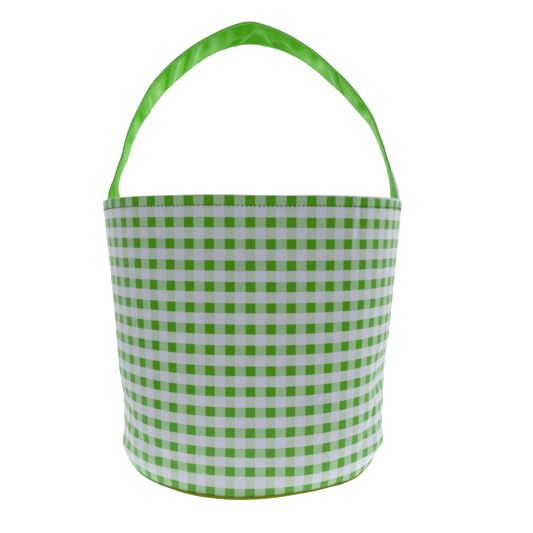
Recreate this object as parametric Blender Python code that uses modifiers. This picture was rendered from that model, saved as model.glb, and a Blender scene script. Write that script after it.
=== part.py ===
"""Gingham cloth bucket bag with a sewn strap handle.

Metres, +Z up. The origin is the centre of the base, on the plane the bag stands on.
The front of the bag faces -Y and the strap spans the mouth along X.
Each wall is a stack of cloth outside, stiffener in the middle and lining inside.
"""

import math

import bmesh
import bpy
from mathutils import Vector

# Driving dimensions of the bucket
BAG_HEIGHT = 0.1935
RIM_HALF_WIDTH = 0.1136
BASE_HALF_WIDTH = 0.1021
RIM_POWER = 2.53  # power of the superellipse section: 2 is a circle, more is squarer
BASE_POWER = 2.15

# Driving dimensions of the strap
STRAP_WIDTH = 0.038
STRAP_RISE = 0.140  # strap centre line above the rim, at the top of the arch
ARCH_POWER = 1.78  # below 2, so the arch is a little pointed
TAIL_LENGTH = 0.030  # sewn between the wall and the lining
RIM_CLEARANCE = 0.0015  # under the swinging strap

# Layers of the wall, as the inset of each layer's outer face, and its thickness
CLOTH = 0.0007
STIFFENER_INSET = 0.0010
STIFFENER = 0.0014
TAIL = 0.0016
LINING_INSET = 0.0029
LINING = 0.0006
GAP = 0.0003

# Layers of the base, as heights above the ground
WALL_BOTTOM = 0.0015
BOARD_BOTTOM = CLOTH + GAP
BOARD = 0.0020
LINING_BASE_BOTTOM = BOARD_BOTTOM + BOARD + GAP
LINING_WALL_BOTTOM = LINING_BASE_BOTTOM + LINING + GAP
BASE_LIP_HEIGHT = 0.0030
BASE_LIP_OUTSET = 0.0011

# Layers of the strap, as distances of each layer's middle from the strap's centre line
STRAP_FACE = 0.0005
STRAP_FACE_OFFSET = 0.00075
STRAP_CORE = 0.0004

# Stitching
THREAD_RADIUS = 0.00025
SEAM_THREAD_RADIUS = 0.0002
THREAD_CLEARANCE = 0.0001
RIM_STITCH_DROP = 0.0068  # below the rim
STRAP_STITCH_INSET = 0.003  # from the strap's edge
SIDE_SEAM_HALF_GAP = 0.0004

# Sampling
PANEL_COLUMNS = 32
PANEL_ROWS = 6
RING_POINTS = 64
ARCH_SEGMENTS = 41  # odd, so the top of the arch is one flat facet
END_SEGMENTS = 6
TAIL_COLUMNS = 6
NOTCH_COLUMNS = 2  # columns of the stiffener left out for a strap tail

STRAP_HALF = STRAP_WIDTH / 2
STRAP_HALF_THICKNESS = STRAP_FACE_OFFSET + STRAP_FACE / 2
TAIL_BOW = 0.0005  # how far a tail's edges curve inward of its middle
STRAP_FOOT_X = (
    RIM_HALF_WIDTH - STIFFENER_INSET - TAIL - TAIL_BOW - GAP - STRAP_HALF_THICKNESS
)
ROUND_CENTRE = STRAP_HALF + RIM_CLEARANCE  # the swing axis above the rim
PIVOT_HEIGHT = BAG_HEIGHT + ROUND_CENTRE

GINGHAM = (0.42, 0.62, 0.36)
GREEN = (0.13, 0.42, 0.03)
OLIVE = (0.16, 0.21, 0.005)
FELT = (0.82, 0.81, 0.78)
CHIPBOARD = (0.36, 0.29, 0.20)
WHITE = (0.80, 0.80, 0.82)
THREAD_GREEN = (0.05, 0.20, 0.02)


# Shape of the wall

def wall_half_width(z):
    return BASE_HALF_WIDTH + (RIM_HALF_WIDTH - BASE_HALF_WIDTH) * z / BAG_HEIGHT


def wall_power(z):
    return BASE_POWER + (RIM_POWER - BASE_POWER) * z / BAG_HEIGHT


def section_point(angle, half_width, power, z):
    """Point of a superellipse section. Angle 0 is +X, growing anticlockwise seen from above."""
    across, along = math.cos(angle), math.sin(angle)
    reach = (abs(across) ** power + abs(along) ** power) ** (-1 / power)
    return Vector((half_width * reach * across, half_width * reach * along, z))


def wall_point(angle, z, inset=0.0):
    return section_point(angle, wall_half_width(z) - inset, wall_power(z), z)


def ring(z, inset):
    turn = 2 * math.pi / RING_POINTS
    return [wall_point(i * turn, z, inset) for i in range(RING_POINTS)]


# Shape of the strap

def arch_table(steps=4000):
    """(length along, x, height above the rim) of the strap's centre line, left foot to right foot."""
    table = []
    length = 0.0
    for i in range(steps + 1):
        angle = math.pi * (1 - i / steps)
        across, up = math.cos(angle), math.sin(angle)
        x = math.copysign(abs(across) ** (2 / ARCH_POWER), across) * STRAP_FOOT_X
        height = max(up, 0.0) ** (2 / ARCH_POWER) * STRAP_RISE
        if table:
            length += math.hypot(x - table[-1][1], height - table[-1][2])
        table.append((length, x, height))
    return table


ARCH = arch_table()
ARCH_LENGTH = ARCH[-1][0]


def arch_point(length):
    """(x, height above the rim, unit normal in the XZ plane, pointing out of the arch)."""
    low, high = 0, len(ARCH) - 1
    while high - low > 1:
        middle = (low + high) // 2
        if ARCH[middle][0] <= length:
            low = middle
        else:
            high = middle
    first, second = ARCH[low], ARCH[high]
    share = (length - first[0]) / (second[0] - first[0])
    x = first[1] + share * (second[1] - first[1])
    height = first[2] + share * (second[2] - first[2])
    run, climb = second[1] - first[1], second[2] - first[2]
    size = math.hypot(run, climb)
    return x, height, (-climb / size, run / size)


def round_end():
    """(distance from the swing axis, half width) from the tip of a round strap end to its root."""
    tip = math.radians(15)
    angles = [tip + (math.pi / 2 - tip) * i / END_SEGMENTS for i in range(END_SEGMENTS)]
    return [(STRAP_HALF * math.cos(a), STRAP_HALF * math.sin(a)) for a in angles]


def strap_stations():
    """(length along the centre line, half width) from left to right, with a round at each end.

    Each round is centred on the swing axis, so the strap turns about it clear of the rim.
    """
    end = [(ROUND_CENTRE - distance, half) for distance, half in round_end()]
    straight = ARCH_LENGTH - 2 * ROUND_CENTRE
    middle = [
        (ROUND_CENTRE + straight * i / ARCH_SEGMENTS, STRAP_HALF)
        for i in range(ARCH_SEGMENTS + 1)
    ]
    mirrored = [(ARCH_LENGTH - length, half) for length, half in reversed(end)]
    return end + middle + mirrored


def tail_stations():
    """(height above the rim, half width) of a tail: sewn in below, round about the axis above."""
    top = [(ROUND_CENTRE + distance, half) for distance, half in reversed(round_end())]
    low = [(-TAIL_LENGTH, STRAP_HALF), (0.0, STRAP_HALF), (ROUND_CENTRE, STRAP_HALF)]
    return low + top


STATIONS = strap_stations()


def strap_point(length, y, offset):
    """Point beside the strap's centre line, relative to the swing axis."""
    x, height, normal = arch_point(length)
    return Vector(
        (x + offset * normal[0], y, height + BAG_HEIGHT - PIVOT_HEIGHT + offset * normal[1])
    )


# Building

def new_material(name, colour, roughness):
    material = bpy.data.materials.new(name)
    material.use_nodes = True
    shader = material.node_tree.nodes["Principled BSDF"]
    shader.inputs["Base Color"].default_value = (*colour, 1.0)
    shader.inputs["Roughness"].default_value = roughness
    shader.inputs["Metallic"].default_value = 0.0
    return material


def add_object(name, data, material, parent=None):
    data.materials.append(material)
    obj = bpy.data.objects.new(name, data)
    obj.parent = parent
    BAG.objects.link(obj)
    return obj


def sheet_mesh(name, columns, rows, place, closed=False, dropped=None):
    """A grid of cloth laid out by place(u, v), where u and v run from 0 to 1."""
    grid = bmesh.new()
    bmesh.ops.create_grid(grid, x_segments=columns, y_segments=rows, size=0.5)
    if dropped:
        faces = [
            f for f in grid.faces
            if dropped(f.calc_center_median().x + 0.5, f.calc_center_median().y + 0.5)
        ]
        bmesh.ops.delete(grid, geom=faces, context="FACES")
    for vertex in grid.verts:
        vertex.co = place(vertex.co.x + 0.5, vertex.co.y + 0.5)
    if closed:
        bmesh.ops.remove_doubles(grid, verts=grid.verts, dist=1e-6)
    mesh = bpy.data.meshes.new(name)
    grid.to_mesh(mesh)
    grid.free()
    return mesh


def add_sheet(name, mesh, material, thickness, offset=-1.0, parent=None):
    """The sheet made solid. Offset -1 grows it against its normals and 0 grows it both ways."""
    obj = add_object(name, mesh, material, parent)
    solidify = obj.modifiers.new("Thickness", "SOLIDIFY")
    solidify.thickness = thickness
    solidify.offset = offset
    solidify.use_even_offset = True
    mesh.shade_smooth()
    mesh.set_sharp_from_angle(angle=math.radians(40))
    return obj


def add_wall_panel(name, material, start, inset, thickness, bottom, top, dropped=None):
    """Half of the wall, from one side seam to the other. The start angle is its first seam."""
    margin = SIDE_SEAM_HALF_GAP / RIM_HALF_WIDTH

    def place(u, v):
        angle = start + margin + u * (math.pi - 2 * margin)
        return wall_point(angle, bottom + v * (top - bottom), inset)

    mesh = sheet_mesh(name, PANEL_COLUMNS, PANEL_ROWS, place, dropped=dropped)
    return add_sheet(name, mesh, material, thickness)


def in_tail_notch(u, v):
    """True over the corners of a stiffener panel that make room for the strap tails."""
    notch = NOTCH_COLUMNS / PANEL_COLUMNS
    return v > 1 - 1 / PANEL_ROWS and not notch < u < 1 - notch


def add_flat_outline(name, material, inset, bottom, thickness):
    """A flat piece of the base's outline, as a filled 2D curve."""
    curve = bpy.data.curves.new(name, "CURVE")
    curve.dimensions = "2D"
    curve.fill_mode = "BOTH"
    curve.extrude = thickness / 2
    points = ring(0.0, inset)
    spline = curve.splines.new("POLY")
    spline.points.add(len(points) - 1)
    for target, point in zip(spline.points, points):
        target.co = (point.x, point.y, 0.0, 1.0)
    spline.use_cyclic_u = True
    obj = add_object(name, curve, material)
    obj.location.z = bottom + thickness / 2
    return obj


def add_thread(name, points, radius, material, closed=False, parent=None):
    curve = bpy.data.curves.new(name, "CURVE")
    curve.dimensions = "3D"
    curve.bevel_depth = radius
    curve.bevel_resolution = 1
    curve.use_fill_caps = True
    spline = curve.splines.new("POLY")
    spline.points.add(len(points) - 1)
    for target, point in zip(spline.points, points):
        target.co = (*point, 1.0)
    spline.use_cyclic_u = closed
    return add_object(name, curve, material, parent)


# Sub-parts of the bucket

def build_outer(gingham, olive):
    top = BAG_HEIGHT
    add_wall_panel("outer_front_panel", gingham, math.pi, 0.0, CLOTH, WALL_BOTTOM, top)
    add_wall_panel("outer_back_panel", gingham, 0.0, 0.0, CLOTH, WALL_BOTTOM, top)
    build_base_panel(olive)


def build_base_panel(material):
    """The base cloth: flat, with its edge rolled up outside the foot of the wall."""
    lip_radius = 0.0008
    steps = 3
    profile = [(BASE_HALF_WIDTH - 0.010, 0.0)]
    for i in range(steps + 1):
        angle = math.pi / 2 * i / steps
        out = BASE_HALF_WIDTH + BASE_LIP_OUTSET - lip_radius * (1 - math.sin(angle))
        profile.append((out, lip_radius * (1 - math.cos(angle))))
    profile.append((BASE_HALF_WIDTH + BASE_LIP_OUTSET, BASE_LIP_HEIGHT))
    rows = len(profile) - 1

    def place(u, v):
        half_width, z = profile[round(v * rows)]
        return section_point(2 * math.pi * u, half_width, BASE_POWER, z)

    mesh = sheet_mesh("outer_base_panel", RING_POINTS, rows, place, closed=True)
    disc = bmesh.new()
    disc.from_mesh(mesh)
    inner_edge = [e for e in disc.edges if e.is_boundary and e.verts[0].co.z < lip_radius]
    bmesh.ops.contextual_create(disc, geom=inner_edge)
    disc.to_mesh(mesh)
    disc.free()
    add_sheet("outer_base_panel", mesh, material, CLOTH)


def build_stiffening(felt, chipboard):
    top = BAG_HEIGHT - CLOTH - GAP
    for name, start in (("front_stiffener", math.pi), ("back_stiffener", 0.0)):
        add_wall_panel(
            name, felt, start, STIFFENER_INSET, STIFFENER, WALL_BOTTOM, top, in_tail_notch
        )
    inset = STIFFENER_INSET + STIFFENER + GAP
    add_flat_outline("base_board", chipboard, inset, BOARD_BOTTOM, BOARD)


def build_lining(white):
    for name, start in (("lining_front_panel", math.pi), ("lining_back_panel", 0.0)):
        add_wall_panel(
            name, white, start, LINING_INSET, LINING, LINING_WALL_BOTTOM, BAG_HEIGHT
        )
    add_flat_outline(
        "lining_base_panel", white, LINING_INSET, LINING_BASE_BOTTOM, LINING
    )


def build_tails(green):
    """The ends of the strap: held between the wall and the lining, and standing up to the axis.

    Above the rim each tail is upright, just outside the strap that swings beside it.
    """
    stations = tail_stations()
    rows = len(stations) - 1
    for name, side in (("left_strap_tail", -1), ("right_strap_tail", 1)):

        def place(u, v):
            rise, half = stations[round(v * rows)]
            y = side * (2 * u - 1) * half
            level = BAG_HEIGHT + min(rise, 0.0)
            half_width = wall_half_width(level) - STIFFENER_INSET
            power = wall_power(level)
            x = side * (half_width ** power - abs(y) ** power) ** (1 / power)
            return Vector((x, y, BAG_HEIGHT + rise))

        mesh = sheet_mesh(name, TAIL_COLUMNS, rows, place)
        add_sheet(name, mesh, green, TAIL)


def build_wall_stitching(thread):
    proud = THREAD_RADIUS + THREAD_CLEARANCE
    stitch_height = BAG_HEIGHT - RIM_STITCH_DROP
    outside = ring(stitch_height, -proud)
    inside = ring(stitch_height, LINING_INSET + LINING + proud)
    add_thread("rim_needle_thread", outside, THREAD_RADIUS, thread, closed=True)
    add_thread("rim_bobbin_thread", inside, THREAD_RADIUS, thread, closed=True)
    foot = ring((CLOTH + WALL_BOTTOM) / 2, CLOTH / 2)
    add_thread("base_seam_thread", foot, SEAM_THREAD_RADIUS, thread, closed=True)
    low, high = WALL_BOTTOM + GAP, BAG_HEIGHT - GAP
    for name, angle in (("left_side_seam_thread", math.pi), ("right_side_seam_thread", 0.0)):
        line = [
            wall_point(angle, low + (high - low) * i / PANEL_ROWS, CLOTH / 2)
            for i in range(PANEL_ROWS + 1)
        ]
        add_thread(name, line, SEAM_THREAD_RADIUS, thread)


# The strap, which swings

def add_strip(name, material, offset, thickness, pivot):
    rows = len(STATIONS) - 1

    def place(u, v):
        length, half = STATIONS[round(u * rows)]
        return strap_point(length, (1 - 2 * v) * half, offset)

    mesh = sheet_mesh(name, rows, 2, place)
    return add_sheet(name, mesh, material, thickness, offset=0.0, parent=pivot)


def build_handle(green, felt, thread):
    pivot = bpy.data.objects.new("handle_pivot", None)
    pivot.location = (0.0, 0.0, PIVOT_HEIGHT)
    BAG.objects.link(pivot)
    add_strip("handle_outer_strip", green, STRAP_FACE_OFFSET, STRAP_FACE, pivot)
    add_strip("handle_core", felt, 0.0, STRAP_CORE, pivot)
    add_strip("handle_inner_strip", green, -STRAP_FACE_OFFSET, STRAP_FACE, pivot)
    lift = STRAP_HALF_THICKNESS + THREAD_CLEARANCE + THREAD_RADIUS
    stations = [length for length, half in STATIONS if half == STRAP_HALF]
    for name, side in (("handle_front_edge_thread", -1), ("handle_back_edge_thread", 1)):
        y = side * (STRAP_HALF - STRAP_STITCH_INSET)
        line = [strap_point(length, y, lift) for length in stations]
        add_thread(name, line, THREAD_RADIUS, thread, parent=pivot)


def build_bag():
    gingham = new_material("gingham_cloth", GINGHAM, 0.9)
    green = new_material("green_cloth", GREEN, 0.85)
    olive = new_material("olive_base_cloth", OLIVE, 0.85)
    felt = new_material("stiffener_felt", FELT, 0.95)
    chipboard = new_material("base_chipboard", CHIPBOARD, 0.9)
    white = new_material("lining_cloth", WHITE, 0.9)
    thread = new_material("green_thread", THREAD_GREEN, 0.7)
    build_outer(gingham, olive)
    build_stiffening(felt, chipboard)
    build_lining(white)
    build_tails(green)
    build_wall_stitching(thread)
    build_handle(green, felt, thread)


for old in list(bpy.data.objects):
    bpy.data.objects.remove(old)
BAG = bpy.data.collections.new("gingham_bucket_bag")
bpy.context.scene.collection.children.link(BAG)
build_bag()
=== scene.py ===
"""Looks of the gingham bucket bag: cloth, lining, strap, stitching, floor, light and camera.

Metres, +Z up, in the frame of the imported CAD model. The front of the bag faces -Y.
A place on the wall is named by its bearing (in radians, 0 at the front, growing to the right as
seen from the front) and its height z.
"""

import math

import bpy
import numpy as np
from mathutils import Euler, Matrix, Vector


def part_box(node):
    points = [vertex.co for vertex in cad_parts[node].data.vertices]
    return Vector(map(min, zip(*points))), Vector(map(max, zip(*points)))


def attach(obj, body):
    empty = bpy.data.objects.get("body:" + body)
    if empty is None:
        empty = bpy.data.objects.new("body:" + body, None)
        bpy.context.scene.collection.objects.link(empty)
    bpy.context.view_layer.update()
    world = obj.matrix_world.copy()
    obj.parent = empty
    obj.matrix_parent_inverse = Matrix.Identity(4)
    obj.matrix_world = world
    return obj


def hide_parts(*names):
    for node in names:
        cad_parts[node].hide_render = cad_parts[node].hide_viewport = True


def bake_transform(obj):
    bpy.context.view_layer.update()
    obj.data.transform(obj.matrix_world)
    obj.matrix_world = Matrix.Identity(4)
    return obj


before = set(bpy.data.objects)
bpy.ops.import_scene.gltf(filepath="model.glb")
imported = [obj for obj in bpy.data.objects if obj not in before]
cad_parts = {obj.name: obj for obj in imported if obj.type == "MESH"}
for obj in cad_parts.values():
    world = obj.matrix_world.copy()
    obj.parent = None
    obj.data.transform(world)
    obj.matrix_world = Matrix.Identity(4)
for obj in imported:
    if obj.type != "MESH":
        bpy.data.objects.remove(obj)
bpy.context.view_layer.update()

MM = 0.001

# Sizes taken from the frame
RIM_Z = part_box("outer_front_panel")[1].z
RIM_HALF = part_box("outer_front_panel")[1].x
BASE_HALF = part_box("outer_base_panel")[1].x - 1.1 * MM  # less the lip
BOARD_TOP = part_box("base_board")[1].z
STRAP_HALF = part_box("handle_inner_strip")[1].y - 1 * MM  # its edges are turned in

# Shape of the wall
RIM_POWER = 2.53  # power of the superellipse section: 2 is a circle, more is squarer
BASE_POWER = 2.15
WALL_HOLLOW = 0.7 * MM  # how far the wall's middle lies inside a straight taper
FOOT_HEIGHT = 17 * MM  # below this the wall leaves its taper towards the base seam
WALL_BOTTOM = 1.0 * MM  # height of the wall's lower edge
ROLL_RADIUS = 1.25 * MM  # of the cloth folded over the rim
HEM_DEPTH = 9 * MM  # of that cloth inside the rim
STITCH_DROP = 6.6 * MM  # topstitching below the rim

# Layers: thicknesses, and how far inside the wall's face the inner ones begin
CLOTH = 0.45 * MM
STIFFENER = 1.1 * MM
STIFFENER_INSET = 0.8 * MM
LINING = 0.4 * MM
LINING_INSET = 3.1 * MM
LINING_FOLD = 0.35 * MM  # radius of the lining's folded rim

# Weave and gingham
WEAVE_PITCH = 0.42  # mm from thread to thread
CHECK = 12.7 * MM  # one repeat: a coloured and a white band
CHECK_HEIGHT = 13.28 * MM  # the repeat up the wall
COLUMN_PHASE = 2.74 * MM  # middle of a coloured column, right of the front's middle
ROW_PHASE = 177.15 * MM  # height of the middle of a coloured row

# Strap
TAIL_DEPTH = 24 * MM  # of its sewn-in ends below the rim
STRAP_THICKNESS = 1.5 * MM
STRAP_STITCH_INSET = 3.1 * MM
STAY_LENGTH = 28 * MM  # of the pale stay above the rim
STRAP_FORWARD = 8 * MM  # the strap stands this much in front of the bag's middle
FOOT_FORWARD = 11 * MM  # and its feet this much

# Light
SKY_FRONT, SKY_BACK, SKY_TOP = 0.18, 0.75, 0.8  # brightness of the studio's walls and ceiling
FLOOR_GLOW = 0.88  # light from the floor beside the foot of the bag
FLOOR_GLOW_REACH = 0.26  # metres from the middle of the bag, where that light has died out
FLOOR_SEEN = 0.5  # least glow of the floor, for the camera only
FLOOR_HALF = 4.0  # metres
LEFT_LIGHT, RIGHT_LIGHT = 5.0, 6.7  # watts
SOFTBOX = 0.8  # metres across
LIGHT_AIM = Vector((0, 0, 0.25))

# Stitches: their pitch, and the radius of their thread
STITCH_PITCH = 2.7 * MM
STITCH_RADIUS = 0.38 * MM
FINE_PITCH = 2.4 * MM  # of the seams and the strap
STRAP_STITCH_RADIUS = 0.22 * MM
SIDE_STITCH_RADIUS = 0.18 * MM
BASE_STITCH_RADIUS = 0.12 * MM
STITCH_SHARE = 0.72  # of the pitch that a stitch covers


# ---------------------------------------------------------------- shape of the wall

def smooth_step(low, high, value):
    t = np.clip((value - low) / (high - low), 0, 1)
    return t * t * (3 - 2 * t)


def unit(vectors):
    return vectors / np.linalg.norm(vectors, axis=1)[:, None]


def distances(line):
    """Distance along a line of points, from its start to each of them."""
    steps = np.linalg.norm(np.diff(line, axis=0), axis=1)
    return np.concatenate([[0], np.cumsum(steps)])


def points_on(line, run, at):
    """Points on a line at distances along it, run being the distances of its own points."""
    return np.stack([np.interp(at, run, line[:, k]) for k in range(3)], axis=1)


def smooth_curve(at, knots, values, spread):
    """A curve through knots with its corners rounded over a spread either side."""
    reach = np.linspace(-spread, spread, 13)
    weight = np.cos(reach / spread * math.pi / 2) ** 2
    drawn = [np.interp(at + r, knots, values) * w for r, w in zip(reach, weight)]
    return sum(drawn) / weight.sum()


def half_width(z):
    """Half the width of the wall's section at a height."""
    h = np.clip(z / RIM_Z, 0, 1)
    return BASE_HALF + (RIM_HALF - BASE_HALF) * h - 4 * WALL_HOLLOW * h * (1 - h)


def section_power(z):
    return BASE_POWER + (RIM_POWER - BASE_POWER) * np.clip(z / RIM_Z, 0, 1)


def section(bearing, z):
    """Points on the plain superellipse wall, and their outward normals, for arrays of places."""
    across, front = np.sin(bearing), np.cos(bearing)
    power = section_power(z)
    reach = (np.abs(across) ** power + np.abs(front) ** power) ** (-1 / power)
    x = half_width(z) * reach * across
    y = -half_width(z) * reach * front
    nx = np.sign(x) * np.abs(x) ** (power - 1)
    ny = np.sign(y) * np.abs(y) ** (power - 1)
    size = np.hypot(nx, ny)
    points = np.stack([x, y, z + 0 * x], axis=-1)
    normals = np.stack([nx / size, ny / size, 0 * x], axis=-1)
    return points, normals


def arc_lengths(bearings, z, centre):
    """Distance round the wall from the bearing centre to each of a row of bearings, at height z."""
    dense = np.linspace(bearings[0], bearings[-1], 600)
    length = distances(section(dense, np.full_like(dense, z))[0])
    length -= np.interp(centre, dense, length)
    return np.interp(bearings, dense, length)


def beside_line(across, up, start, stop):
    """Where places lie along a line from start to stop, as a share, and how far to its side."""
    along = stop - start
    length = np.linalg.norm(along)
    along /= length
    du, dv = across - start[0], up - start[1]
    return (du * along[0] + dv * along[1]) / length, du * along[1] - dv * along[0]


def ridge(share, side, half, fade):
    """A rounded ridge of height 1 along a line, fading out beyond both of its ends."""
    past = np.clip(-share, 0, None) ** 2 + np.clip(share - 1, 0, None) ** 2
    return np.exp(-past * fade) / (1 + (side / half) ** 2) ** 1.5


# Creases: (bearing in degrees, height in mm) of each end, half width and rise in mm. A negative
# rise is a valley.
CREASES = (
    ((-26.0, 176), (-31.0, 140), 1.3, -0.50),
    ((-31.0, 146), (-30.0, 104), 1.1, -0.60),
    ((-28.6, 160), (-28.0, 118), 1.3, 0.45),
    ((34.6, 195), (34.4, 166), 1.1, 1.00),
    ((37.0, 192), (36.4, 160), 1.3, -0.85),
    ((31.9, 190), (32.0, 170), 1.2, -0.60),
    ((-57.0, 52), (-50.5, 37), 3.2, -0.9),
    ((-50.5, 37), (-44.5, 29), 3.2, -0.9),
    ((-44.5, 29), (-37.0, 27), 3.2, -0.8),
    ((-37.0, 27), (-26.0, 16), 2.8, -0.6),
    ((-60.0, 36), (-47.0, 21), 4.5, 0.7),
    ((-47.0, 21), (-36.0, 18), 4.0, 0.5),
    ((-28.5, 21), (-24.5, 14), 1.6, -0.45),
    ((-27.0, 24), (-23.5, 17), 1.4, 0.30),
    ((59.0, 59), (56.0, 45), 3.0, -0.9),
    ((56.0, 45), (51.0, 31), 3.2, -0.9),
    ((51.0, 31), (48.0, 22), 3.0, -0.8),
    ((48.0, 22), (35.0, 19), 2.8, -0.6),
    ((59.5, 57), (72.0, 36), 2.2, -0.8),
    ((66.0, 36), (54.0, 14), 4.5, 0.7),
    ((28.0, 22), (32.0, 12), 1.6, -0.45),
    ((30.5, 24), (34.0, 14), 1.4, 0.30),
    ((142.0, 62), (128.0, 30), 3.0, -0.90),
    ((-146.0, 66), (-133.0, 36), 3.0, -0.80),
    ((-150.0, 170), (-154.0, 120), 1.8, -0.30),
    ((164.0, 192), (165.0, 165), 1.8, 0.35),
)
MM_PER_DEGREE = 1.95  # round the wall, on average


def crease_field(bearing, z):
    """Outward rise of the wall cloth from its creases, in metres."""
    across = np.degrees(bearing) * MM_PER_DEGREE
    up = z / MM
    rise = np.zeros_like(across)
    for (b0, z0), (b1, z1), half, height in CREASES:
        start, stop = np.array([b0 * MM_PER_DEGREE, z0]), np.array([b1 * MM_PER_DEGREE, z1])
        share, side = beside_line(across, up, start, stop)
        taper = np.clip(1.15 - np.abs(share - 0.5) ** 2 * 2.2, 0, 1)
        rise += height * taper * ridge(share, side, half, 18)
    return rise * MM


# Broad dents: bearing in degrees, height, half extents in degrees and mm, rise in mm
DENTS = (
    (-62, 42, 12, 17, -3.1),
    (-64, 11, 12, 7, 2.1),
    (64, 80, 11, 9, -2.4),
    (64, 63, 11, 11, -4.2),
    (66, 16, 11, 9, 3.6),
    (70, 160, 16, 60, 0.8),
    (-118, 70, 16, 22, -1.2),
    (112, 50, 15, 18, -1.1),
    (170, 120, 30, 60, -0.8),
)


def dent_field(bearing, z):
    degrees, up = np.degrees(bearing), z / MM
    rise = np.zeros_like(degrees)
    for centre, height, wide, tall, depth in DENTS:
        away = (degrees - centre + 180) % 360 - 180
        rise += depth * np.exp(-((away / wide) ** 2) - ((up - height) / tall) ** 2)
    return rise * MM


def slack_field(bearing, z):
    """Slow waves all round, as in any hand-sewn wall."""
    up = z / MM
    wave = 0.16 * np.sin(5 * bearing + up / 38) + 0.10 * np.sin(9 * bearing - up / 23 + 1.3)
    return wave * MM


def seam_field(bearing):
    """The side seams pull in by a little."""
    off = np.abs(np.abs(np.degrees(bearing)) - 90) * MM_PER_DEGREE
    return -0.45 * MM * np.exp(-((off / 1.3) ** 2))


# How far the wall's foot lies inside its taper, in mm, at bearings in degrees. It flares out at
# the front and is pulled in under the sagging sides.
FOOT_INSETS = (
    (-180, 2.2),
    (-90, 1.5),
    (-70, 2.3),
    (-56, 3.0),
    (-45, 2.7),
    (-30, 2.1),
    (-20, 0.1),
    (-5, -1.4),
    (6, 0.0),
    (18, 2.7),
    (34, 2.8),
    (45, 0.8),
    (56, 3.0),
    (70, 2.8),
    (90, 1.5),
    (180, 2.2),
)


def foot_inset(bearing):
    return smooth_curve(np.degrees(bearing), *np.transpose(FOOT_INSETS), 5.0) * MM


def foot_field(bearing, z):
    t = np.clip(1 - z / FOOT_HEIGHT, 0, 1)
    return -foot_inset(bearing) * t * t


# How much higher than RIM_Z the cloth is folded over, in mm, at bearings in degrees
RIM_RISES = (
    (-180, 0.2),
    (-110, 0.0),
    (-70, -0.5),
    (-20, -0.45),
    (-14, -0.1),
    (-4, -0.15),
    (2, -0.45),
    (14, -0.4),
    (20, 0.1),
    (38, 0.8),
    (50, 1.6),
    (65, 2.6),
    (80, 2.5),
    (110, 1.2),
    (150, 0.4),
    (180, 0.2),
)


def rim_height(bearing):
    return RIM_Z + smooth_curve(np.degrees(bearing), *np.transpose(RIM_RISES), 4.0) * MM


def pucker_field(bearing, z):
    """A groove along the topstitching, with irregular ripples across it."""
    below = rim_height(bearing) - z
    off = (below - STITCH_DROP) / MM
    groove = -0.32 * np.exp(-((off / 0.9) ** 2))
    run = np.degrees(bearing) * MM_PER_DEGREE
    ripple = np.sin(run * 1.23) + 0.8 * np.sin(run * 0.71 + 2.0) + 0.6 * np.sin(run * 2.05 + 0.5)
    reach = np.exp(-((np.clip(off, 0, None) / 3.2) ** 2) - (np.clip(-off, 0, None) / 2.2) ** 2)
    return (groove + 0.15 * ripple * reach) * MM


def wall(bearing, z, inset=0.0, follow=1.0):
    """Points of a wall layer and their normals. follow is its share of the outer cloth's relief."""
    points, normals = section(bearing, z)
    relief = crease_field(bearing, z) + dent_field(bearing, z) + slack_field(bearing, z)
    relief = (relief + seam_field(bearing)) * follow + foot_field(bearing, z)
    return points + normals * (relief - inset)[..., None], normals


# ---------------------------------------------------------------- shape of the strap

# The arch of the limp strap, as distances in mm of its front and back edges from the middle of
# the rim, at angles from the right foot (0) over the top (90) to the left foot (180)
ARCH = (
    (0, 110.5, 111.6),
    (10, 108.3, 113.2),
    (20, 108.0, 114.0),
    (30, 109.9, 115.6),
    (36, 112.7, 116.4),
    (45, 114.8, 115.7),
    (60, 119.6, 119.4),
    (75, 128.3, 127.8),
    (82, 132.8, 131.0),
    (91, 138.0, 133.9),
    (95, 137.0, 134.2),
    (105, 131.4, 131.9),
    (120, 124.3, 124.4),
    (132, 119.2, 120.9),
    (140, 114.6, 118.2),
    (149, 111.4, 117.2),
    (160, 107.4, 114.6),
    (170, 108.2, 116.8),
    (176, 111.2, 115.0),
    (180, 111.2, 110.2),
)


ARCH_RADIUS = 118  # on average


def strap_edges():
    """The strap's front and back edges, from the end of the left tail to that of the right one."""
    angles, front, back = np.transpose(ARCH)
    at = np.linspace(180, 0, 1200)
    turn = np.radians(at)
    foot = np.cos(turn) ** 24  # 1 at the feet
    forward = STRAP_FORWARD + (FOOT_FORWARD - STRAP_FORWARD) * foot
    lines = []
    for radii, side in ((front, -1), (back, 1)):
        radius = smooth_curve(at, angles, radii, 3.5) * MM
        y = side * STRAP_HALF - forward
        line = np.stack([radius * np.cos(turn), y, RIM_Z + radius * np.sin(turn)], axis=1)
        depth = np.linspace(TAIL_DEPTH, 0, 50)[:-1, None]
        slope = (RIM_HALF - BASE_HALF) / RIM_Z
        left = line[0] + depth * np.array([slope, 0, -1])
        right = (line[-1] + depth * np.array([-slope, 0, -1]))[::-1]
        lines.append(np.concatenate([left, line, right]))
    return lines


FRONT_EDGE, BACK_EDGE = strap_edges()
MIDDLE = (FRONT_EDGE + BACK_EDGE) / 2
LENGTHS = distances(MIDDLE)
STRAP_LENGTH = LENGTHS[-1]
LEFT_RIM = TAIL_DEPTH
RIGHT_RIM = STRAP_LENGTH - TAIL_DEPTH


def clear_of_rim(length):
    """0 in the tails of the strap and 1 well above the rim, at lengths along it."""
    return smooth_step(-4, 14, np.minimum(length - LEFT_RIM, RIGHT_RIM - length) / MM)


def strap_angle(length):
    """The angle on the arch, as in ARCH, at lengths along the strap."""
    x = np.interp(length, LENGTHS, MIDDLE[:, 0])
    z = np.interp(length, LENGTHS, MIDDLE[:, 2])
    return np.degrees(np.arctan2(z - RIM_Z, x))


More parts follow.
